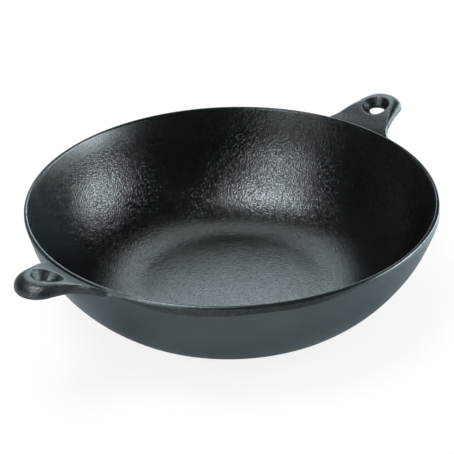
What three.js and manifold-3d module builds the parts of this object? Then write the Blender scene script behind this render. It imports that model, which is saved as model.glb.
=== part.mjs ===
// Grill wok in grey cast iron: a deep round bowl with a flat base, a ground band round its rim
// and two lugs that rise from the rim, each with a finger eye.
// Millimetres, +Z up. The origin is the centre of the base, and the lugs lie along X.

import * as THREE from 'three';
import { mergeVertices } from 'three/addons/utils/BufferGeometryUtils.js';
import Module from 'manifold-3d';

// Bowl
const RIM_RADIUS = 160; // outer radius of the ground band
const HEIGHT = 88.8; // from the base to the top of the rim
const BASE_RADIUS = 71.5; // the flat that the wok stands on
const SHOULDER_RADIUS = 77.5; // outer round between the base and the wall
const SHOULDER_TURN = THREE.MathUtils.degToRad(41.5); // slope at which the round becomes the wall
const WALL = 4.2; // thickness of the floor and the wall, square to the surface
const BAND_HEIGHT = 6; // upright strip ground round the outside of the rim
const RIM_OUTER_ROUND = 2.1; // the rim's top falls away to the outside
const RIM_INNER_ROUND = 0.8;

// Lugs
const LUG_TILT = THREE.MathUtils.degToRad(38.9); // slope of the top face where it leaves the rim
const LUG_ARCH_RADIUS = 71.3; // roll of the top face, which is almost level at the nose
const LUG_DROP = 1; // how far under the rim's top the top face leaves the band
const LUG_WEDGE = 0.143; // thickness gained for each millimetre along the top face
const LUG_ROOT_THICKNESS = 4.5; // at the band, square to the top face
const LUG_ROOT_HALF = 35.8; // from the middle of the lug to where a flare would touch the band
const LUG_FLARE_RADIUS = 14.9; // hollow round between a flank and the band, seen from above
const LUG_END_STEP = 0.9; // small step in which a flare ends on the band
const NOSE_REACH = 28.1; // from the band to the centre of the nose, seen from above
const NOSE_RADIUS = 18.4;
const SHOULDER_AT_NOSE = 8.9; // width of the rounding from the top face into the nose
const SHOULDER_AT_ROOT = 1.4; // the same at the crease beside the rim
const BELLY_AT_NOSE = 8.9; // width of the rounding from the nose into the underside
const BELLY_AT_ROOT = 2;
const WAIST_AT_NOSE = 0.76; // how far down the thickness the nose is widest
const WAIST_AT_ROOT = 0.4;

// Eye of a lug
const EYE_REACH = 25.7; // from the band along the top face to the eye's centre
const EYE_RADIUS = 6.4; // at its narrowest
const EYE_WAIST = 0.76; // how far down the thickness the eye is narrowest
const EYE_MOUTH_RADIUS = 11.8; // edge of the funnel in the top face, before its lip is rounded
const EYE_LIP_ROUND = 1.8;
const EYE_LIP_FLAT = 0.4; // least flat left on the top face between the lip and the shoulder
const EYE_LOWER_MOUTH = 1.2; // width of the rounding in the underside

// The bowl and its lugs are one casting, divided here by a fine seam
const SEAM = 0.3;

// Facets
const ROUND_STEPS = 96;
const SHOULDER_STEPS = 8;
const WALL_STEPS = 8;
const EDGE_STEPS = 3;
const NOSE_STEPS = 22;
const FLARE_STEPS = 5;
const FLANK_STEPS = 4;
const ROOT_STEPS = 6;
const FACE_STEPS = 3;
const SECTION_STEPS = 5;

const wasm = await Module();
wasm.setup();

function toSolid(geometry) {
  const bare = geometry.clone();
  bare.deleteAttribute('normal');
  bare.deleteAttribute('uv');
  const merged = mergeVertices(bare, 1e-4);
  return new wasm.Manifold(new wasm.Mesh({
    numProp: 3,
    vertProperties: new Float32Array(merged.attributes.position.array),
    triVerts: new Uint32Array(merged.index.array),
  }));
}

function toGeometry(solid) {
  const mesh = solid.getMesh();
  const geometry = new THREE.BufferGeometry();
  geometry.setAttribute('position', new THREE.BufferAttribute(mesh.vertProperties, 3));
  geometry.setIndex(new THREE.BufferAttribute(mesh.triVerts, 1));
  geometry.computeVertexNormals();
  return geometry;
}

// Points spread evenly from 0 to 1, both ends included
function spread(steps) {
  return Array.from({ length: steps + 1 }, (_, i) => i / steps);
}

function castIron() {
  return new THREE.MeshStandardMaterial({ color: 0x2b3134, roughness: 0.55, metalness: 0.35 });
}

function revolve(profile) {
  return new THREE.LatheGeometry(profile, ROUND_STEPS).rotateX(Math.PI / 2);
}

// Circular arc that leaves start at a given slope and ends at end, as points with the slope at each
function arcTo(start, slope, end, steps) {
  const chord = end.clone().sub(start);
  const half = chord.angle() - slope;
  return spread(steps).map((t) => {
    const share = Math.abs(half) < 1e-6 ? t : Math.sin(t * half) / Math.sin(half);
    const heading = slope + t * half;
    const reach = chord.length() * share;
    const point = new THREE.Vector2(Math.cos(heading), Math.sin(heading)).multiplyScalar(reach).add(start);
    return { point, slope: slope + 2 * t * half };
  });
}

// Rounds the corner between the directions towards before and after with an arc of the given radius
function roundCorner(before, corner, after, radius) {
  const a = before.clone().sub(corner).normalize();
  const b = after.clone().sub(corner).normalize();
  const halfAngle = a.angleTo(b) / 2;
  const middle = a.clone().add(b).normalize();
  const centre = middle.multiplyScalar(radius / Math.sin(halfAngle)).add(corner);
  const first = a.multiplyScalar(radius / Math.tan(halfAngle)).add(corner).sub(centre);
  const last = b.multiplyScalar(radius / Math.tan(halfAngle)).add(corner).sub(centre);
  const sweep = Math.atan2(first.cross(last), first.dot(last));
  const origin = new THREE.Vector2();
  return spread(EDGE_STEPS).map((t) => first.clone().rotateAround(origin, t * sweep).add(centre));
}

// Outside of the bowl from the edge of the base to the foot of the band, with the slope at each point:
// the shoulder's arc, then a wall arc that carries on from it without a crease
function outerWall() {
  const shoulder = spread(SHOULDER_STEPS).map((t) => {
    const slope = t * SHOULDER_TURN;
    const point = new THREE.Vector2(
      BASE_RADIUS + SHOULDER_RADIUS * Math.sin(slope),
      SHOULDER_RADIUS * (1 - Math.cos(slope)),
    );
    return { point, slope };
  });
  const foot = new THREE.Vector2(RIM_RADIUS, HEIGHT - BAND_HEIGHT);
  const wall = arcTo(shoulder.at(-1).point, SHOULDER_TURN, foot, WALL_STEPS);
  return [...shoulder, ...wall.slice(1)];
}

function bowl() {
  const outer = outerWall();
  const inner = outer.map(({ point, slope }) => new THREE.Vector2(
    point.x - WALL * Math.sin(slope),
    point.y + WALL * Math.cos(slope),
  ));
  const lean = outer.at(-1).slope;
  const innerTop = inner.at(-1);
  const foot = outer.at(-1).point;
  const outerCorner = new THREE.Vector2(RIM_RADIUS, HEIGHT);
  const innerCorner = new THREE.Vector2(innerTop.x + (HEIGHT - innerTop.y) / Math.tan(lean), HEIGHT);
  const profile = [
    new THREE.Vector2(0, 0),
    ...outer.map(({ point }) => point),
    ...roundCorner(foot, outerCorner, innerCorner, RIM_OUTER_ROUND),
    ...roundCorner(outerCorner, innerCorner, innerTop, RIM_INNER_ROUND),
    ...inner.reverse(),
    new THREE.Vector2(0, WALL),
  ];
  return revolve(profile);
}

// Distance from the chord that touches the band in front of a lug back to the band itself
function bandSetback(y) {
  return RIM_RADIUS - Math.sqrt(RIM_RADIUS ** 2 - y ** 2);
}

// Outline of a lug seen from above: the round nose, a straight flank on each side, a hollow flare that
// runs out along the band and ends there in a small step, and a root buried as deep as the wall
function lugOutline() {
  const nose = new THREE.Vector2(RIM_RADIUS + NOSE_REACH, 0);
  const rootAngle = Math.asin(LUG_ROOT_HALF / RIM_RADIUS);
  const flareReach = RIM_RADIUS + LUG_FLARE_RADIUS;
  const flare = new THREE.Vector2(flareReach, 0).rotateAround(new THREE.Vector2(), rootAngle);
  const apart = flare.clone().sub(nose);
  const turn = apart.angle() - Math.acos((NOSE_RADIUS + LUG_FLARE_RADIUS) / apart.length());
  const towards = new THREE.Vector2(Math.cos(turn), Math.sin(turn));
  const flankTop = towards.clone().multiplyScalar(NOSE_RADIUS).add(nose);
  const flankFoot = towards.clone().multiplyScalar(-LUG_FLARE_RADIUS).add(flare);
  const endReach = RIM_RADIUS + LUG_END_STEP;
  const stopShort = Math.acos((flareReach ** 2 + LUG_FLARE_RADIUS ** 2 - endReach ** 2)
    / (2 * flareReach * LUG_FLARE_RADIUS));
  const hollow = new THREE.EllipseCurve(flare.x, flare.y, LUG_FLARE_RADIUS, LUG_FLARE_RADIUS,
    turn + Math.PI, rootAngle + Math.PI + stopShort, true);
  const end = hollow.getPoint(1);
  const buried = RIM_RADIUS - WALL;
  const root = new THREE.EllipseCurve(0, 0, buried, buried, end.angle(), 0, true);

  const half = [
    [new THREE.EllipseCurve(nose.x, nose.y, NOSE_RADIUS, NOSE_RADIUS, 0, turn), NOSE_STEPS / 2],
    [new THREE.LineCurve(flankTop, flankFoot), FLANK_STEPS],
    [hollow, FLARE_STEPS],
    [new THREE.LineCurve(end, root.getPoint(0)), 1],
    [root, ROOT_STEPS / 2],
  ];
  const side = half.flatMap(([curve, steps]) => curve.getPoints(steps).slice(0, -1));
  side.push(root.getPoint(1));
  const mirrored = side.slice(1, -1).reverse().map(({ x, y }) => new THREE.Vector2(x, -y));
  return [...side, ...mirrored];
}

// Section of a lug along a line from the eye's centre to a point of the outline, as distances from the
// eye's axis and depths under the top face: funnel, top face, shoulder, belly, underside, lower mouth
function lugSection(direction, length, thicknessAt) {
  const depthAt = (distance) => thicknessAt(EYE_REACH + direction.x * distance);
  const throat = new THREE.Vector2(EYE_RADIUS, depthAt(EYE_RADIUS) * EYE_WAIST);
  const mouth = new THREE.Vector2(EYE_MOUTH_RADIUS, 0);
  const lip = roundCorner(throat, mouth, new THREE.Vector2(length, 0), EYE_LIP_ROUND);
  const lipEnd = lip.at(-1).x;
  const share = THREE.MathUtils.smoothstep(EYE_REACH + direction.x * length, 0, EYE_REACH + NOSE_RADIUS / 2);
  const roundest = THREE.MathUtils.lerp(SHOULDER_AT_ROOT, SHOULDER_AT_NOSE, share);
  const shoulder = Math.min(roundest, length - lipEnd - EYE_LIP_FLAT);
  const belly = THREE.MathUtils.lerp(BELLY_AT_ROOT, BELLY_AT_NOSE, share);
  const waist = depthAt(length) * THREE.MathUtils.lerp(WAIST_AT_ROOT, WAIST_AT_NOSE, share);
  const faceEdge = length - shoulder;
  const underEdge = length - belly;
  const underMouth = EYE_RADIUS + EYE_LOWER_MOUTH;
  const inner = spread(FACE_STEPS).slice(1, -1);
  const quarter = spread(SECTION_STEPS).map((t) => [Math.sin(t * Math.PI / 2), Math.cos(t * Math.PI / 2)]);
  return [
    throat.toArray(),
    ...lip.map((point) => point.toArray()),
    ...inner.map((t) => [THREE.MathUtils.lerp(lipEnd, faceEdge, t), 0]),
    ...quarter.map(([s, c]) => [faceEdge + shoulder * s, waist * (1 - c)]),
    ...quarter.slice(1).map(([s, c]) => [underEdge + belly * c, waist + (depthAt(underEdge) - waist) * s]),
    ...inner.map((t) => THREE.MathUtils.lerp(underEdge, underMouth, t)).map((at) => [at, depthAt(at)]),
    ...quarter.slice(0, -1).map(([s, c]) => [
      underMouth - EYE_LOWER_MOUTH * s,
      throat.y + (depthAt(underMouth) - throat.y) * c,
    ]),
  ];
}

// A lug is a ring lofted round its eye, rolled down over the arch, set back to follow the band and cut
// off a seam's width outside it
function lug() {
  const thicknessAt = (distance) => LUG_ROOT_THICKNESS + distance * LUG_WEDGE;
  const eye = new THREE.Vector2(EYE_REACH, 0);
  const archX = RIM_RADIUS + LUG_ARCH_RADIUS * Math.sin(LUG_TILT);
  const archZ = HEIGHT - LUG_DROP - LUG_ARCH_RADIUS * Math.cos(LUG_TILT);

  const rings = lugOutline().map(({ x, y }) => {
    const slope = Math.asin((archX - x - bandSetback(y)) / LUG_ARCH_RADIUS);
    const onFace = new THREE.Vector2(LUG_ARCH_RADIUS * (LUG_TILT - slope), y);
    const spoke = onFace.sub(eye);
    const direction = spoke.clone().normalize();
    return lugSection(direction, spoke.length(), thicknessAt).map(([distance, depth]) => {
      const angle = LUG_TILT - (eye.x + direction.x * distance) / LUG_ARCH_RADIUS;
      const radius = LUG_ARCH_RADIUS - depth;
      const across = direction.y * distance;
      return new THREE.Vector3(
        archX - radius * Math.sin(angle) - bandSetback(across),
        across,
        archZ + radius * Math.cos(angle),
      );
    });
  });

  const around = rings.length;
  const along = rings[0].length;
  const index = [];
  for (let i = 0; i < around; i += 1) {
    for (let j = 0; j < along; j += 1) {
      const here = i * along + j;
      const up = i * along + (j + 1) % along;
      const next = ((i + 1) % around) * along + j;
      const both = ((i + 1) % around) * along + (j + 1) % along;
      index.push(here, up, both, here, both, next);
    }
  }
  const loft = new THREE.BufferGeometry().setFromPoints(rings.flat());
  loft.setIndex(index);

  const inside = RIM_RADIUS - 2 * WALL;
  const outside = RIM_RADIUS + SEAM;
  const top = 2 * HEIGHT;
  const column = revolve([
    new THREE.Vector2(inside, 0),
    new THREE.Vector2(outside, 0),
    new THREE.Vector2(outside, top),
    new THREE.Vector2(inside, top),
    new THREE.Vector2(inside, 0),
  ]);
  return toGeometry(toSolid(loft).subtract(toSolid(column)));
}

function named(name, geometry) {
  const mesh = new THREE.Mesh(geometry, castIron());
  mesh.name = name;
  return mesh;
}

const wok = new THREE.Group();
wok.add(named('bowl', bowl()));
const lugShape = lug();
const handleRight = named('handle_right', lugShape);
const handleLeft = named('handle_left', lugShape);
handleLeft.rotation.z = Math.PI;
wok.add(handleRight, handleLeft);

export default wok;
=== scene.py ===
"""Grill wok in seasoned cast iron: fine skins for the bowl and its lugs, iron material, studio and camera.

Sizes are in millimetres, as in the part's source, and every mesh is written in metres in the part's frame.
"""
import math

import bpy
import numpy as np
from mathutils import Matrix, Vector


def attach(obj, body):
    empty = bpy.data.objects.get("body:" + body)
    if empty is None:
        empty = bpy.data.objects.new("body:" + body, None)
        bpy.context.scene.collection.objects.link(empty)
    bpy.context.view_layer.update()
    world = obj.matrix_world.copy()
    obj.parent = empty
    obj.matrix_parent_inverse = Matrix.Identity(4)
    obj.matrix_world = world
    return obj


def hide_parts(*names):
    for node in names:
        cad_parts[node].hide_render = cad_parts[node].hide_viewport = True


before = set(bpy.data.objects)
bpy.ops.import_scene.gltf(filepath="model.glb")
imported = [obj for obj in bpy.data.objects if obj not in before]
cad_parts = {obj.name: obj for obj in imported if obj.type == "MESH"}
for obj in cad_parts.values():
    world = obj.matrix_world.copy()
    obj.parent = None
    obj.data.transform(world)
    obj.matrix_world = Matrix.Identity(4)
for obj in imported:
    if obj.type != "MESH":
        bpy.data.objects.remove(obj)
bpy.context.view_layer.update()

# Bowl
RIM_RADIUS = 160.0
HEIGHT = 88.8
BASE_RADIUS = 71.5
SHOULDER_RADIUS = 77.5
SHOULDER_TURN = math.radians(41.5)
WALL = 4.2
BAND_HEIGHT = 6.0
RIM_OUTER_ROUND = (1.5, 2.1)
RIM_INNER_ROUND = 0.8
FLARE_DEPTH = 16.0
FLARE_END = 45
FLARE_WIDTH = 0.5
FLARE_LOSS_IN_FRONT = 0.75

# Ground band: its least height, and how much deeper it is in front, in its tongue, behind and on the right
BAND_LEAST = 3.1
BAND_FRONT = 2.9
BAND_TONGUE = 2.3
BAND_BEHIND = 1.6
BAND_RIGHT = 3.4

# Unevenness of the casting
CAST_SETBACK = 0.12
BAND_SWELL = 0.95
WALL_BULGE = 0.9

# Rows and columns of the bowl's grid
BOWL_COLUMNS = 480
SHOULDER_ROWS = 24
WALL_ROWS = 32
ROUND_ROWS = 10
TOP_ROWS = 5
BAND_ROWS = 7
LIP_ROWS = 6
BASE_ROWS = 8
FLOOR_ROWS = 14
HUB_RADIUS = 0.6

# Parts of the bowl's profile, in order
BASE, OUTER, BAND, OUTER_EDGE, TOP, INNER_EDGE, LIP, INNER, FLOOR = range(9)

# Lugs
LUG_TILT = math.radians(38.9)
LUG_ARCH_RADIUS = 71.3
LUG_DROP = 1.04
LUG_WEDGE = 0.143
LUG_ROOT_THICKNESS = 4.5
LUG_ROOT_HALF = 35.8
LUG_FLARE_RADIUS = 14.9
LUG_END_STEP = 0.2
LUG_ROOT_DEPTH = 1.6
LUG_END = 31.2
NOSE_REACH = 28.1
NOSE_RADIUS = 18.4
SHOULDER_WIDTH = (1.4, 8.9)
BELLY_WIDTH = (2.0, 8.9)
WAIST_SHARE = (0.4, 0.76)
EYE_REACH = 25.7
EYE_RADIUS = 6.4
EYE_WAIST = 0.76
EYE_MOUTH_RADIUS = 11.8
EYE_LIP_ROUND = 1.8
EYE_LIP_FLAT = 0.4
EYE_LOWER_MOUTH = 1.2

# Ledge on the band past the lugs' flares
LEDGE_WIDTH = 0.95
LEDGE_LENGTH = 19.0
LEDGE_MIDDLE = 3.7
LEDGE_RISE = 0.7
LEDGE_HALF = 3.2
LEDGE_THINNING = 1.9
# Depth at which the ledge sets painted highlight on the band.
LEDGE_LIGHT_DEPTH = 3.0

# Rows of a lug's sections and columns of its outline
LUG_ROUND_ROWS = 14
LUG_LIP_ROWS = 9
LUG_FACE_ROWS = 20
LUG_FUNNEL_ROWS = 10
NOSE_COLUMNS = 72
HOLLOW_COLUMNS = 24
FLANK_COLUMNS = 26
ROOT_COLUMNS = 40
STEP_COLUMNS = 8
LEAST_SPOKE_TURN = math.radians(0.12)

# Parts of a lug's section, in order
L_FUNNEL, L_LIP, L_FACE, L_SHOULDER, L_BELLY, L_UNDER, L_MOUTH = range(7)

# Degrees from the part's frame to the picture's, whose viewer is at -90, and the viewer's place in the part's
VIEW_TURN = 45.87
FRONT = -90 - VIEW_TURN

# Places round the rim, as middle and half width in degrees from the front
# Several of these places set painted highlight and painted shade on the rim and the inner wall; the others shape
# the band and wall.
FRONT_PAINTED_SHADE = (14, 16)
FRONT_TONGUE = (-11, 11)
LEFT_SIDE = (-72, 34)
LEFT_PAINTED_LIGHT = (-90, 20)
LEFT_PAINTED_HIGHLIGHT = (-132, 15)
RIGHT_PAINTED_LIGHT = (64, 24)
RIGHT_DEEP = (70, 17)
RIGHT_SWELL = (74, 12)
RIGHT_PAINTED_SHADE = (74, 32)
BACK_LUG = (136, 15)
BEHIND = (150, 24)

# Ramps round the rim, as start and end in degrees from the front
BAND_FRONT_FADE = (20, 31)
ROUND_FRONT_FADE = (30, 50)
# The back rise and the strip ramps place painted highlight and painted shade on the rim.
BACK_RISE = (86, 112)
STRIP_RISE = (-37, -32)
STRIP_FADE = (-26, -8)

# Ramps over radius, level above the ground, depth under the rim and distance along the band, in millimetres
CAST_RISE = (70, 90)
CAST_FADE = (135, 155)
LIFT_START = 20
FLOOR_GRAIN_RISE = (5, 20)
MATT_RISE = (50, 84)
# The next two place painted light on the inner wall under the rim.
PAINTED_HIGHLIGHT_RISE = (70, 85)
PAINTED_LIGHT_RISE = (45, 70)
SWELL_DEPTH = (4, 9)
BULGE_RISE = (5, 24)
BULGE_FADE = (40, 70)
FLARE_TIP_RISE = (24, 31)

MM = 0.001
LAMP_DISTANCE = 2.0
FLOOR_HALF = 6.0
PHOTO_PIXELS = 454


def smoothstep(x, low, high):
    t = np.clip((x - low) / (high - low), 0, 1)
    return t * t * (3 - 2 * t)


def bell(x, middle, width):
    return np.exp(-((x - middle) / width) ** 2)


def lerp(pair, share):
    return pair[0] + (pair[1] - pair[0]) * share


def between(first, last, steps):
    """Equal steps from first to last, without these two."""
    return np.linspace(first, last, steps)[1:-1]


def quarter(steps):
    """Sines and cosines of a quarter turn in equal steps."""
    turn = np.linspace(0, math.pi / 2, steps)
    return np.sin(turn), np.cos(turn)


def from_front(angle):
    """Degrees round the rim from the side that faces the photograph's viewer, counted to the right."""
    return (np.degrees(angle) - FRONT + 180) % 360 - 180


def skin(name, points, wrap_rows, caps=(), **attributes):
    """Mesh object from a grid of points (row, column, xyz) in millimetres whose columns close into a ring.

    wrap_rows also closes the rows. caps lists the rows that are filled with one face each.
    Each attribute is an array of one number per point.
    """
    rows, columns = points.shape[:2]
    here = np.arange(rows * columns).reshape(rows, columns)
    low = here if wrap_rows else here[:-1]
    high = np.roll(here, -1, axis=0) if wrap_rows else here[1:]
    quads = np.stack([low, np.roll(low, -1, axis=1), np.roll(high, -1, axis=1), high], axis=-1)
    faces = quads.reshape(-1, 4).tolist()
    faces += [here[row].tolist() if row else here[row][::-1].tolist() for row in caps]
    mesh = bpy.data.meshes.new(name)
    mesh.from_pydata((points.reshape(-1, 3) * MM).tolist(), [], faces)
    for label, values in attributes.items():
        layer = mesh.attributes.new(label, "FLOAT", "POINT")
        layer.data.foreach_set("value", np.ascontiguousarray(values, dtype=np.float32).ravel())
    mesh.shade_smooth()
    mesh.update()
    piece = bpy.data.objects.new(name, mesh)
    bpy.context.scene.collection.objects.link(piece)
    return piece


def corner_round(before, corner, after, radius, steps):
    """Arc of the given radius in the corner between two directions, from the first side to the second.

    Works on arrays of corners: before, corner and after end in an axis of two numbers, and the arc's steps
    become a new axis before that one.
    """
    a = before - corner
    b = after - corner
    a = a / np.linalg.norm(a, axis=-1, keepdims=True)
    b = b / np.linalg.norm(b, axis=-1, keepdims=True)
    half = np.arccos(np.clip((a * b).sum(-1, keepdims=True), -1, 1)) / 2
    middle = a + b
    middle = middle / np.linalg.norm(middle, axis=-1, keepdims=True)
    centre = corner + middle * radius / np.sin(half)
    first = corner + a * radius / np.tan(half) - centre
    last = corner + b * radius / np.tan(half) - centre
    sweep = math.pi - 2 * half
    share = np.linspace(0, 1, steps)[:, None]
    first, last, sweep = first[..., None, :], last[..., None, :], sweep[..., None, :]
    spun = (first * np.sin((1 - share) * sweep) + last * np.sin(share * sweep)) / np.sin(sweep)
    return centre[..., None, :] + spun


def band_height(angle):
    """Height of the ground band, which is deeper in front, behind and on the right and has a wavy edge."""
    away = from_front(angle)
    deep = 1 - smoothstep(np.abs(away), *BAND_FRONT_FADE)
    tongue = BAND_TONGUE * bell(away, *FRONT_TONGUE)
    far = BAND_BEHIND * bell(np.abs(away), *BEHIND)
    ripple = 0.16 * np.sin(11 * angle + 1.9) + 0.16 * np.sin(23 * angle) + 0.14 * np.sin(47 * angle + 0.7)
    right = BAND_RIGHT * bell(away, *RIGHT_DEEP)
    return BAND_LEAST + BAND_FRONT * deep + tongue + far + right + ripple


def ledge(angle, depth):
    """Thin swelling of the band, at a depth under the rim's top, in which each flare of a lug runs out.

    Along the band it is w (1 - t)^2 past the flare's end, with t from 0 to 1 over the ledge's length, and
    across the band a bell curve about its middle.
    """
    from_lug = RIM_RADIUS * np.abs((angle + math.pi / 2) % math.pi - math.pi / 2)
    past = (from_lug - LUG_END) / LEDGE_LENGTH
    along = np.where(past < 0, smoothstep(past, -0.5, 0), np.clip(1 - past, 0, 1) ** 2)
    thin = smoothstep(past, 0, 0.5)
    off_middle = depth - LEDGE_MIDDLE + LEDGE_RISE * thin
    across = np.exp(-(off_middle / (LEDGE_HALF - LEDGE_THINNING * thin)) ** 4)
    return LEDGE_WIDTH * along * across


def flare(depth):
    """Outward turn of the inner wall under the rim: w (2 (1 - d / D)^2 - f), where f fades deeper down."""
    turn = np.clip(1 - depth / FLARE_DEPTH, 0, 1) ** 2
    fade = 1 - smoothstep(depth, FLARE_DEPTH, FLARE_END)
    return FLARE_WIDTH * (2 * turn - fade)


def rim_light_and_shade(angle):
    """Gain and darkening of band, outer edge, top and inner edge of the rim, set unevenly round it: painted
    highlight and painted shade.
    """
    away = from_front(angle)
    patch = bell(away, *FRONT_PAINTED_SHADE)
    left = bell(away, *LEFT_SIDE)
    right = bell(away, *RIGHT_PAINTED_LIGHT)
    right_top = bell(away, *RIGHT_PAINTED_SHADE)
    lug = bell(away, *BACK_LUG)
    back = smoothstep(np.abs(away), *BACK_RISE) * (1 - 0.8 * lug)
    run = ledge(angle, LEDGE_LIGHT_DEPTH) / LEDGE_WIDTH
    strip = smoothstep(away, *STRIP_RISE) * (1 - smoothstep(away, *STRIP_FADE))
    # Gain here is painted highlight and darkening is painted shade, at places round the rim.
    band_shade = 0.25 + 0.4 * patch + 0.35 * left + 0.2 * back - 0.25 * right - 0.4 * run
    outer_edge_shade = 0.55 * patch + 0.45 * left + 0.75 * back - 0.3 * strip
    return {
        BAND: (1.0 + 2.0 * right + 2.2 * run, band_shade),
        OUTER_EDGE: (1.0 + 1.8 * right + 0.8 * strip, outer_edge_shade),
        TOP: (1.0 + 1.2 * left + 1.2 * lug, 0.8 * patch + 1.25 * right_top + 0.75 * back),
        INNER_EDGE: (1.0 + 1.2 * left, 0.8 * patch + 0.5 * right + 0.65 * back),
    }


def bowl_profile():
    """Closed profile of the bowl, in rows of radius and height for each part from the base to the floor.

    Outside, the shoulder is r = B + S sin q, z = S (1 - cos q) and the wall an arc tangent to it; inside is
    the same line set in by the wall's thickness. Also gives how far the outer edge moves where its round is
    the larger one.
    """
    q = np.linspace(0, SHOULDER_TURN, SHOULDER_ROWS)
    shoulder = np.stack([BASE_RADIUS + SHOULDER_RADIUS * np.sin(q), SHOULDER_RADIUS * (1 - np.cos(q))], -1)
    foot = np.array([RIM_RADIUS, HEIGHT - BAND_HEIGHT])
    chord = foot - shoulder[-1]
    half = math.atan2(chord[1], chord[0]) - SHOULDER_TURN
    t = np.linspace(0, 1, WALL_ROWS)[1:]
    reach = np.hypot(*chord) * np.sin(t * half) / math.sin(half)
    heading = SHOULDER_TURN + t * half
    wall = shoulder[-1] + reach[:, None] * np.stack([np.cos(heading), np.sin(heading)], -1)
    slope = np.concatenate([q, SHOULDER_TURN + 2 * t * half])
    outer = np.concatenate([shoulder, wall])
    inner = outer + WALL * np.stack([-np.sin(slope), np.cos(slope)], -1)

    outer_corner = np.array([RIM_RADIUS, HEIGHT])
    lean = np.array([1 / math.tan(slope[-1]), 1.0])
    inner_corner = inner[-1] + lean * (HEIGHT - inner[-1, 1])
    small, large = (corner_round(foot, outer_corner, inner_corner, r, ROUND_ROWS) for r in RIM_OUTER_ROUND)
    inner_edge = corner_round(outer_corner, inner_corner, inner[-1], RIM_INNER_ROUND, ROUND_ROWS)
    band = between(foot, small[0], BAND_ROWS)
    top = between(small[-1], inner_edge[0], TOP_ROWS)
    lip = between(inner_edge[-1], inner[-1], LIP_ROWS)
    base_radius = np.linspace(HUB_RADIUS, BASE_RADIUS, BASE_ROWS)[:-1]
    floor_radius = np.linspace(BASE_RADIUS, HUB_RADIUS, FLOOR_ROWS)[1:]
    base = np.stack([base_radius, np.zeros_like(base_radius)], -1)
    floor = np.stack([floor_radius, np.full_like(floor_radius, WALL)], -1)
    return [base, outer, band, small, top, inner_edge, lip, inner[::-1], floor], large - small


def bowl_skin():
    """Surface of revolution (r(s) cos a, r(s) sin a, z(s)) of the bowl's closed profile, made uneven.

    The rim's outer round grows towards the front. The outer wall is lifted towards the wavy foot of the
    band, both walls swell by a few hundredths as a casting does, the band swells on the right and the outer
    wall bulges on the left, each by less than a millimetre, and the inner wall turns out under the rim,
    least in front.
    """
    parts, fall = bowl_profile()
    profile = np.concatenate(parts)
    part = np.repeat(np.arange(len(parts)), [len(p) for p in parts])
    angle = np.linspace(0, 2 * math.pi, BOWL_COLUMNS, endpoint=False)
    away = from_front(angle)
    soft = 1 - smoothstep(np.abs(away), *ROUND_FRONT_FADE)

    def only(*chosen):
        return np.isin(part, chosen)[:, None]

    radius = np.repeat(profile[:, :1], angle.size, axis=1)
    height = np.repeat(profile[:, 1:], angle.size, axis=1)
    radius[part == OUTER_EDGE] += fall[:, :1] * soft
    height[part == OUTER_EDGE] += fall[:, 1:] * soft
    radius[part == TOP] += between(fall[-1, 0], 0, TOP_ROWS)[:, None] * soft
    height[part == BAND] += between(0, fall[0, 1], BAND_ROWS)[:, None] * soft

    foot = HEIGHT - BAND_HEIGHT
    edge = parts[OUTER_EDGE][0, 1]
    lifted = np.zeros(len(profile))
    lifted[part == OUTER] = smoothstep(parts[OUTER][:, 1], LIFT_START, foot)
    lifted[part == BAND] = (edge - parts[BAND][:, 1]) / (edge - foot)
    height = height + lifted[:, None] * (BAND_HEIGHT - band_height(angle))

    line = np.concatenate([[0], np.cumsum(np.hypot(*np.diff(profile, axis=0).T))])[:, None]
    swell = 0.05 * np.sin(3 * angle + line / 31) + 0.04 * np.sin(7 * angle - line / 17)
    free = smoothstep(profile[:, 0], *CAST_RISE) * (1 - smoothstep(profile[:, 0], *CAST_FADE))
    radius = radius - only(OUTER, INNER) * free[:, None] * (CAST_SETBACK + swell)

    depth = HEIGHT - height
    side = np.maximum(BAND_SWELL * bell(away, *RIGHT_SWELL) - 0.02, 0) * bell(depth, *SWELL_DEPTH)
    leaning = (1 - np.sin(np.radians(away))) / 2
    rising = WALL_BULGE * only(OUTER) * leaning * smoothstep(depth, *BULGE_RISE)
    bulge = rising * (1 - smoothstep(depth, *BULGE_FADE))
    radius = radius + only(BASE, OUTER, BAND, OUTER_EDGE) * (ledge(angle, depth) + side) + bulge

    turned_out = 1 - FLARE_LOSS_IN_FRONT * soft
    radius = radius + only(LIP, INNER) * flare(depth) * turned_out
    radius[part == INNER_EDGE] += FLARE_WIDTH * turned_out
    radius[part == TOP] += between(0, FLARE_WIDTH, TOP_ROWS)[:, None] * turned_out

    points = np.stack([radius * np.cos(angle), radius * np.sin(angle), height], -1)
    looks = bowl_looks(part, profile[:, 1], angle)
    piece = skin("wok_bowl", points, False, (0, -1), **looks)
    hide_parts("bowl")
    return piece


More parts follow.
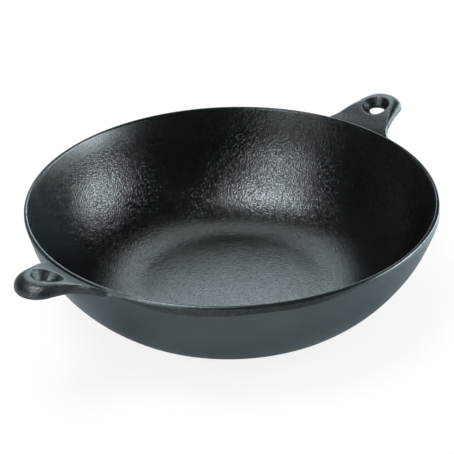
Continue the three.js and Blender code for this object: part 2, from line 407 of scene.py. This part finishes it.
def bowl_looks(part, level, angle):
    """The material's attributes on the bowl's grid, from the rows' parts and levels and the columns' angles;
    they carry painted highlights on the upper inner wall and painted highlight and painted shade round the rim.
    """
    away = from_front(angle)
    every = np.ones((1, angle.size))
    within = np.where(part >= LIP, 1, 0)[:, None]
    inside = np.where(part >= INNER_EDGE, 0.72 + 0.28 * smoothstep(level, *FLOOR_GRAIN_RISE), 0)[:, None] * every
    ground = ((part >= BAND) & (part <= INNER_EDGE))[:, None] * every
    matt = within * 0.6 * smoothstep(level, *MATT_RISE)[:, None] * every
    gain_and_painted_light = np.where(part <= OUTER, 1.28, 1.0)[:, None] * every
    # Painted highlight and painted light on the inner wall under the rim on the left, raising the gain there;
    # the painted highlight also smooths the grain.
    glow = bell(away, *LEFT_PAINTED_HIGHLIGHT) * smoothstep(level, *PAINTED_HIGHLIGHT_RISE)[:, None]
    painted_light_left = bell(away, *LEFT_PAINTED_LIGHT) * smoothstep(level, *PAINTED_LIGHT_RISE)[:, None]
    gain_and_painted_light = gain_and_painted_light + within * (1.1 * glow + 0.8 * painted_light_left)
    inside = inside - 0.4 * within * glow
    painted_shade = np.zeros_like(gain_and_painted_light)
    for row, look in rim_light_and_shade(angle).items():
        gain_and_painted_light[part == row], painted_shade[part == row] = look
    upper = smoothstep(np.linspace(0, 1, ROUND_ROWS), 0.4, 0.8)[:, None]
    for values in (gain_and_painted_light, painted_shade):
        values[part == OUTER_EDGE] += upper * (values[part == TOP][:1] - values[part == OUTER_EDGE])
    return {"inside": inside, "ground": ground, "matt": matt, "gain_and_painted_light": gain_and_painted_light, "painted_shade": np.clip(painted_shade, 0, 1)}


def setback(y):
    return RIM_RADIUS - np.sqrt(RIM_RADIUS ** 2 - y ** 2)


def arc(centre, radius, start, stop, steps):
    a = np.linspace(start, stop, steps)
    return centre + radius * np.stack([np.cos(a), np.sin(a)], -1)


def lug_outline():
    """Closed outline of a lug from above: nose, flank, hollow flare, end step and buried root, mirrored."""
    nose = np.array([RIM_RADIUS + NOSE_REACH, 0.0])
    root_angle = math.asin(LUG_ROOT_HALF / RIM_RADIUS)
    reach = RIM_RADIUS + LUG_FLARE_RADIUS
    hollow_centre = reach * np.array([math.cos(root_angle), math.sin(root_angle)])
    apart = hollow_centre - nose
    turn = math.atan2(apart[1], apart[0]) - math.acos((NOSE_RADIUS + LUG_FLARE_RADIUS) / np.hypot(*apart))
    end_reach = RIM_RADIUS + LUG_END_STEP
    squares = reach ** 2 + LUG_FLARE_RADIUS ** 2 - end_reach ** 2
    short = math.acos(squares / (2 * reach * LUG_FLARE_RADIUS))
    hollow_end = root_angle + math.pi + short

    round_nose = arc(nose, NOSE_RADIUS, 0, turn, NOSE_COLUMNS)
    hollow = arc(hollow_centre, LUG_FLARE_RADIUS, turn + math.pi, hollow_end, HOLLOW_COLUMNS)
    flank = between(round_nose[-1], hollow[0], FLANK_COLUMNS)
    end_angle = math.atan2(hollow[-1, 1], hollow[-1, 0])
    root = arc(np.zeros(2), RIM_RADIUS - LUG_ROOT_DEPTH, end_angle, 0, ROOT_COLUMNS)
    step = between(hollow[-1], root[0], STEP_COLUMNS)
    side = np.concatenate([round_nose, flank, hollow, step, root])
    mirrored = side[1:-1][::-1] * [1, -1]
    return np.concatenate([side, mirrored])


def lug_skin(name, node, turned):
    """Ring lofted round the eye: column i is a section along the spoke from the eye to outline point i.

    A section runs through funnel, lip, top face, shoulder, belly, underside and lower mouth as distances e
    from the eye's axis and depths d under the top face. The face is rolled over an arch: at u along it the
    slope is a = tilt - u / A, and a point lies at
    x = xc - (A - d) sin a - setback(y), z = zc + (A - d) cos a.
    The spokes' headings grow by a least step from the nose to the root, so no spoke turns back over its
    neighbour.
    """
    outline = lug_outline()
    arch_x = RIM_RADIUS + LUG_ARCH_RADIUS * math.sin(LUG_TILT)
    arch_z = HEIGHT - LUG_DROP - LUG_ARCH_RADIUS * math.cos(LUG_TILT)
    slope = np.arcsin((arch_x - outline[:, 0] - setback(outline[:, 1])) / LUG_ARCH_RADIUS)
    spoke = np.stack([LUG_ARCH_RADIUS * (LUG_TILT - slope) - EYE_REACH, outline[:, 1]], -1)
    length = np.hypot(*spoke.T)[:, None]
    half = len(outline) // 2 + 1
    least = LEAST_SPOKE_TURN * np.arange(half)
    heading = np.maximum.accumulate(np.arctan2(spoke[:half, 1], spoke[:half, 0]) - least) + least
    heading = np.concatenate([heading, -heading[1:-1][::-1]])[:, None] * math.pi / heading[-1]
    along = np.cos(heading)
    across = np.sin(heading)

    def thickness(distance):
        return LUG_ROOT_THICKNESS + LUG_WEDGE * (EYE_REACH + along * distance)

    share = smoothstep(EYE_REACH + along * length, 0, EYE_REACH + NOSE_RADIUS / 2)
    throat = np.concatenate([np.full_like(length, EYE_RADIUS), thickness(EYE_RADIUS) * EYE_WAIST], -1)
    mouth = np.broadcast_to([EYE_MOUTH_RADIUS, 0.0], throat.shape)
    lip = corner_round(throat, mouth, mouth + [1, 0], EYE_LIP_ROUND, LUG_LIP_ROWS)
    lip_end = lip[:, -1, :1]
    shoulder = np.minimum(lerp(SHOULDER_WIDTH, share), length - lip_end - EYE_LIP_FLAT)
    belly = lerp(BELLY_WIDTH, share)
    waist = thickness(length) * lerp(WAIST_SHARE, share)
    face_edge = length - shoulder
    under_edge = length - belly
    under_mouth = EYE_RADIUS + EYE_LOWER_MOUTH
    s, c = quarter(LUG_ROUND_ROWS)
    closing = 1 - (1 - between(0, 1, LUG_FACE_ROWS)) ** 1.5
    cone = np.linspace(0, 1, LUG_FUNNEL_ROWS)[:-1]
    funnel = throat[:, None] + (lip[:, :1] - throat[:, None]) * cone[:, None]
    face = lip_end + (face_edge - lip_end) * closing
    under = under_edge + (under_mouth - under_edge) * between(0, 1, LUG_ROUND_ROWS)
    low = throat[:, 1:]
    distances = [
        funnel[..., 0],
        lip[..., 0],
        face,
        face_edge + shoulder * s,
        under_edge + belly * c[1:],
        under,
        under_mouth - EYE_LOWER_MOUTH * s[:-1] + np.zeros_like(length),
    ]
    depths = [
        funnel[..., 1],
        lip[..., 1],
        np.zeros_like(face),
        waist * (1 - c),
        waist + (thickness(under_edge) - waist) * s[1:],
        thickness(under),
        low + (thickness(under_mouth) - low) * c[:-1],
    ]
    distance = np.concatenate(distances, -1)
    depth = np.concatenate(depths, -1)

    u = EYE_REACH + along * distance
    v = across * distance
    a = LUG_TILT - u / LUG_ARCH_RADIUS
    r = LUG_ARCH_RADIUS - depth
    points = np.stack([arch_x - r * np.sin(a) - setback(v), v, arch_z + r * np.cos(a)], -1)
    if turned:
        points = points * [-1, -1, 1]
    looks = lug_looks(points, [d.shape[1] for d in distances], share)
    piece = skin(name, points, True, **looks)
    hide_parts(node)
    return piece


def lug_looks(points, sizes, share):
    """The material's attributes on a lug's grid: creases, seam and lip lighter as worn edges and painted
    highlight, flare ends lightened as painted light, and painted shade on the belly and underside.
    """
    kind = np.repeat(np.arange(len(sizes)), sizes)
    step = np.concatenate([np.linspace(0, 1, size) for size in sizes])
    near_edge = np.where(kind == L_FACE, bell(step, 1, 0.06), 0)
    crease = np.where(kind == L_SHOULDER, bell(step, 0.1, 0.25), near_edge) * (1 - share)
    ring = np.where(kind == L_LIP, bell(step, 0.6, 0.35), 0)
    from_axis = np.hypot(points[..., 0], points[..., 1])
    seam = np.where(kind == L_FACE, bell(from_axis, RIM_RADIUS + 4.5, 3.0), 0)
    # Lighter creases, seam and lip: worn edges and painted highlight.
    wear_and_painted_highlight = np.maximum(np.maximum(1.4 * crease, 0.15 * seam), 0.5 * ring)
    flank = (kind == L_SHOULDER) | (kind == L_BELLY)
    # Painted light on the flare ends, to lift their shade.
    painted_light_tip = np.where(flank, smoothstep(np.abs(points[..., 1]), *FLARE_TIP_RISE), 0)
    below = np.where(kind == L_UNDER, 1, 0)
    # Painted shade on the belly and underside.
    painted_shade_below = np.where(kind == L_BELLY, smoothstep(step, 0.2, 0.6), below) * (1 - painted_light_tip)
    none = np.zeros(points.shape[:2])
    gain_and_painted_light = 1.0 + 1.6 * wear_and_painted_highlight + 0.7 * painted_light_tip
    return {"inside": none + 0.65, "ground": none, "matt": none + 0.9, "gain_and_painted_light": gain_and_painted_light, "painted_shade": 0.5 * painted_shade_below}


class Wire:
    """A node's output that can be added, multiplied and so on, each step adding a Math node to its tree."""

    def __init__(self, nodes, socket):
        self.nodes = nodes
        self.socket = socket

    def math(self, operation, *others):
        return self.nodes.add("Math", 0, {"operation": operation}, self, *others)

    def __add__(self, other):
        return self.math("ADD", other)

    def __radd__(self, other):
        return self.math("ADD", other)

    def __sub__(self, other):
        return self.math("SUBTRACT", other)

    def __rsub__(self, other):
        return self.math("MULTIPLY_ADD", -1.0, other)

    def __mul__(self, other):
        return self.math("MULTIPLY", other)

    def __rmul__(self, other):
        return self.math("MULTIPLY", other)

    def most(self, other):
        return self.math("MAXIMUM", other)

    def step(self, low, high):
        """0 below low, 1 above high and smooth between them."""
        return self.nodes.add("MapRange", 0, {"interpolation_type": "SMOOTHSTEP"}, self, low, high)


class Nodes:
    """A node tree that starts empty and takes nodes with their settings and inputs in one call."""

    def __init__(self, owner):
        owner.use_nodes = True
        self.tree = owner.node_tree
        self.tree.nodes.clear()

    def add(self, kind, output=0, settings=(), *ordered, **named):
        """New node with its settings and its sockets, first in order, then by name; gives an output."""
        made = self.tree.nodes.new("ShaderNode" + kind)
        for label, value in dict(settings).items():
            setattr(made, label, value)
        filled = list(zip(made.inputs, ordered))
        filled += [(made.inputs[label.replace("_", " ")], value) for label, value in named.items()]
        for slot, value in filled:
            if isinstance(value, Wire):
                self.tree.links.new(value.socket, slot)
            else:
                slot.default_value = value
        return Wire(self, made.outputs[output]) if made.outputs else made

    def attribute(self, name):
        return self.add("Attribute", "Fac", {"attribute_name": name})


def iron_material():
    """Seasoned cast iron: pebbled inside, smoother outside, a ground band, edges lightened as wear and painted
    highlight, and painted shade mixed in as a flat dark diffuse.
    """
    material = bpy.data.materials.new("seasoned_cast_iron")
    n = Nodes(material)
    place = n.add("TexCoord", "Object")
    inside, ground, matt, gain_and_painted_light, painted_shade = map(n.attribute, ("inside", "ground", "matt", "gain_and_painted_light", "painted_shade"))

    grain = n.add("TexNoise", "Fac", Vector=place, Scale=800.0, Detail=0.5, Roughness=0.5)
    pebble = n.add("TexNoise", "Fac", Vector=place, Scale=420.0, Detail=0.0)
    swell = n.add("TexNoise", "Fac", Vector=place, Scale=120.0, Detail=2.0)
    cloud = n.add("TexNoise", "Fac", Vector=place, Scale=26.0, Detail=4.0, Roughness=0.6)
    speck = n.add("TexVoronoi", "Distance", Vector=place, Scale=150.0)
    rarity = n.add("TexNoise", "Fac", Vector=place, Scale=60.0)
    fine = n.add("TexNoise", "Fac", Vector=place, Scale=1400.0, Detail=0.0)

    pit = (1.0 - speck.step(0.05, 0.14)) * rarity.step(0.6, 0.66)
    rough_side = 0.12 + inside * 0.88
    height = (grain * 0.50 + pebble * 0.10 + swell * 0.10) * rough_side * (1.0 - ground * 0.6) - pit * 0.35
    bump = n.add("Bump", Strength=1.0, Distance=0.00070, Height=height)

    tone = cloud.step(0.3, 0.75)
    mottle = ground * (pebble - 0.5) * 0.7 + inside * (fine - 0.5) * 2.4
    # The gain attribute lightens the colour with edge wear and painted highlights.
    bright = (0.86 + tone * 0.16 + mottle).most(0.1) * (1.0 - pit * 0.5) * gain_and_painted_light
    warmer_inside = (0.0035, 0.0, -0.0015)
    iron_grey = (0.048, 0.0575, 0.0615)
    hue = n.add("VectorMath", "Vector", {"operation": "MULTIPLY_ADD"}, inside, warmer_inside, iron_grey)
    colour = n.add("VectorMath", "Vector", {"operation": "SCALE"}, hue, Scale=bright)
    roughness = 0.34 + tone * 0.04 - inside * 0.18 - ground * 0.06 + matt * 0.14
    shader = n.add("BsdfPrincipled", Base_Color=colour, Metallic=0.92, Roughness=roughness, Normal=bump,
                   IOR=1.5, Specular_Tint=(0.68, 0.77, 0.81, 1))
    # Flat dark diffuse mixed in by the darkening attribute: painted shade on parts of the rim and on the lugs'
    # undersides.
    painted_shade_diffuse = n.add("BsdfDiffuse", Color=(0.012, 0.014, 0.015, 1))
    both = n.add("MixShader", 0, (), painted_shade, shader, painted_shade_diffuse)
    n.add("OutputMaterial", Surface=both)
    return material


def floor_material():
    """White floor that the camera sees near white, with the wok's shadow, and reflections mostly as lit."""
    material = bpy.data.materials.new("studio_floor")
    n = Nodes(material)
    camera = n.add("LightPath", "Is Camera Ray")
    through = n.add("LightPath", "Is Transmission Ray")
    glossy = n.add("LightPath", "Is Glossy Ray")
    seen = (camera.most(through) * 0.85).most(glossy * 0.1)
    lit = n.add("BsdfDiffuse", Color=(0.9, 0.9, 0.9, 1))
    glow = n.add("Emission", Color=(1, 1, 1, 1), Strength=1.0)
    both = n.add("MixShader", 0, (), seen, lit, glow)
    n.add("OutputMaterial", Surface=both)
    return material


def studio_floor():
    mesh = bpy.data.meshes.new("floor")
    far = FLOOR_HALF
    mesh.from_pydata([(-far, -far, 0), (far, -far, 0), (far, far, 0), (-far, far, 0)], [], [(0, 1, 2, 3)])
    mesh.materials.append(floor_material())
    floor = bpy.data.objects.new("floor", mesh)
    bpy.context.scene.collection.objects.link(floor)


def studio_world():
    """White below the horizon and low down behind the wok, dim and bluish elsewhere."""
    world = bpy.data.worlds.new("studio")
    bpy.context.scene.world = world
    n = Nodes(world)
    direction = n.add("TexCoord", "Generated")
    rise = n.add("SeparateXYZ", "Z", Vector=direction)
    turn = math.radians(90 - VIEW_TURN)
    backwards = (math.cos(turn), math.sin(turn), 0)
    behind = n.add("VectorMath", "Value", {"operation": "DOT_PRODUCT"}, direction, backwards)
    backdrop = (1.0 - rise.step(0.18, 0.34)) * behind.step(0.3, 0.7)
    below = 1.0 - rise.step(-0.02, 0.03)
    white = n.add("Background", Color=(1, 1, 1, 1), Strength=below.most(backdrop))
    dim = n.add("Background", Color=(0.4, 1.0, 1.25, 1), Strength=0.03)
    sky = n.add("AddShader", 0, (), white, dim)
    n.add("OutputWorld", Surface=sky)


def soft_box(name, turn, rise, half_width, half_height, radiance, distance=LAMP_DISTANCE):
    """Lamp of even radiance that the wok sees at the given angles, in degrees, from a distance in metres.

    turn counts round the wok from the picture's right, with the viewer at -90.
    """
    lamp = bpy.data.lights.new(name, "AREA")
    lamp.shape = "RECTANGLE"
    lamp.size = 2 * distance * math.tan(math.radians(half_width))
    lamp.size_y = 2 * distance * math.tan(math.radians(half_height))
    lamp.energy = radiance * 4 * lamp.size * lamp.size_y
    box = bpy.data.objects.new(name, lamp)
    turn = math.radians(turn - VIEW_TURN)
    rise = math.radians(rise)
    out = Vector((math.cos(rise) * math.cos(turn), math.cos(rise) * math.sin(turn), math.sin(rise)))
    aim = out.to_track_quat("Z", "Y").to_matrix().to_4x4()
    box.matrix_world = Matrix.Translation(out * distance) @ aim
    bpy.context.scene.collection.objects.link(box)


def studio():
    """Floor, world and soft boxes placed where the photograph's highlights reflect."""
    studio_floor()
    studio_world()
    soft_box("main_box", -147, 71, 12, 12, 9.5)
    soft_box("left_strip", -128, 40, 12, 12, 5.2)
    soft_box("left_low", -130, 4, 12, 9, 4.0)
    soft_box("right_box", 9, 23, 15, 10, 7.3)
    soft_box("right_low", 35, 7.2, 15, 7, 7.5, 0.8)
    soft_box("right_front", -3, 4, 14, 8, 9.0)
    soft_box("back_edge", 80, 13, 24, 5, 4.0)
    soft_box("back_right", 80, 34, 8, 11, 2.7)
    soft_box("back_left", 95, 33, 8, 10, 3.4)
    soft_box("back_high", 90, 52, 19, 11, 2.0)


def photo_camera():
    """Camera fitted to the photograph's outlines, from a focal length in pixels and angles in degrees."""
    focal, distance = 1249.46, 971.441
    rise, roll, yaw, pitch = (math.radians(a) for a in (28.6626, -1.52550, 0.22304, -1.56713))
    right = Vector((1, 0, 0))
    back = Vector((0, -math.cos(rise), math.sin(rise)))
    eye = back * distance
    up = back.cross(right)
    aim = Matrix.Rotation(yaw, 3, up) @ Matrix.Rotation(pitch, 3, right)
    right, up, back = aim @ right, aim @ up, aim @ back
    spin = Matrix.Rotation(roll, 3, back)
    axes = Matrix((spin @ right, spin @ up, back)).transposed()
    turn = Matrix.Rotation(math.radians(-VIEW_TURN), 3, "Z")
    lens = bpy.data.cameras.new("camera")
    lens.sensor_width = 36.0
    lens.lens = focal * lens.sensor_width / PHOTO_PIXELS
    lens.clip_start = 0.01
    camera = bpy.data.objects.new("camera", lens)
    place = turn @ eye * MM + Vector((0, 0, HEIGHT * MM))
    camera.matrix_world = Matrix.Translation(place) @ (turn @ axes).to_4x4()
    bpy.context.scene.collection.objects.link(camera)
    bpy.context.scene.camera = camera


bpy.context.scene.view_settings.view_transform = "Standard"
photo_camera()
studio()
iron = iron_material()
bowl = bowl_skin()
right_lug = lug_skin("wok_lug_right", "handle_right", False)
left_lug = lug_skin("wok_lug_left", "handle_left", True)
for piece in (bowl, right_lug, left_lug):
    piece.data.materials.append(iron)
    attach(piece, "root")
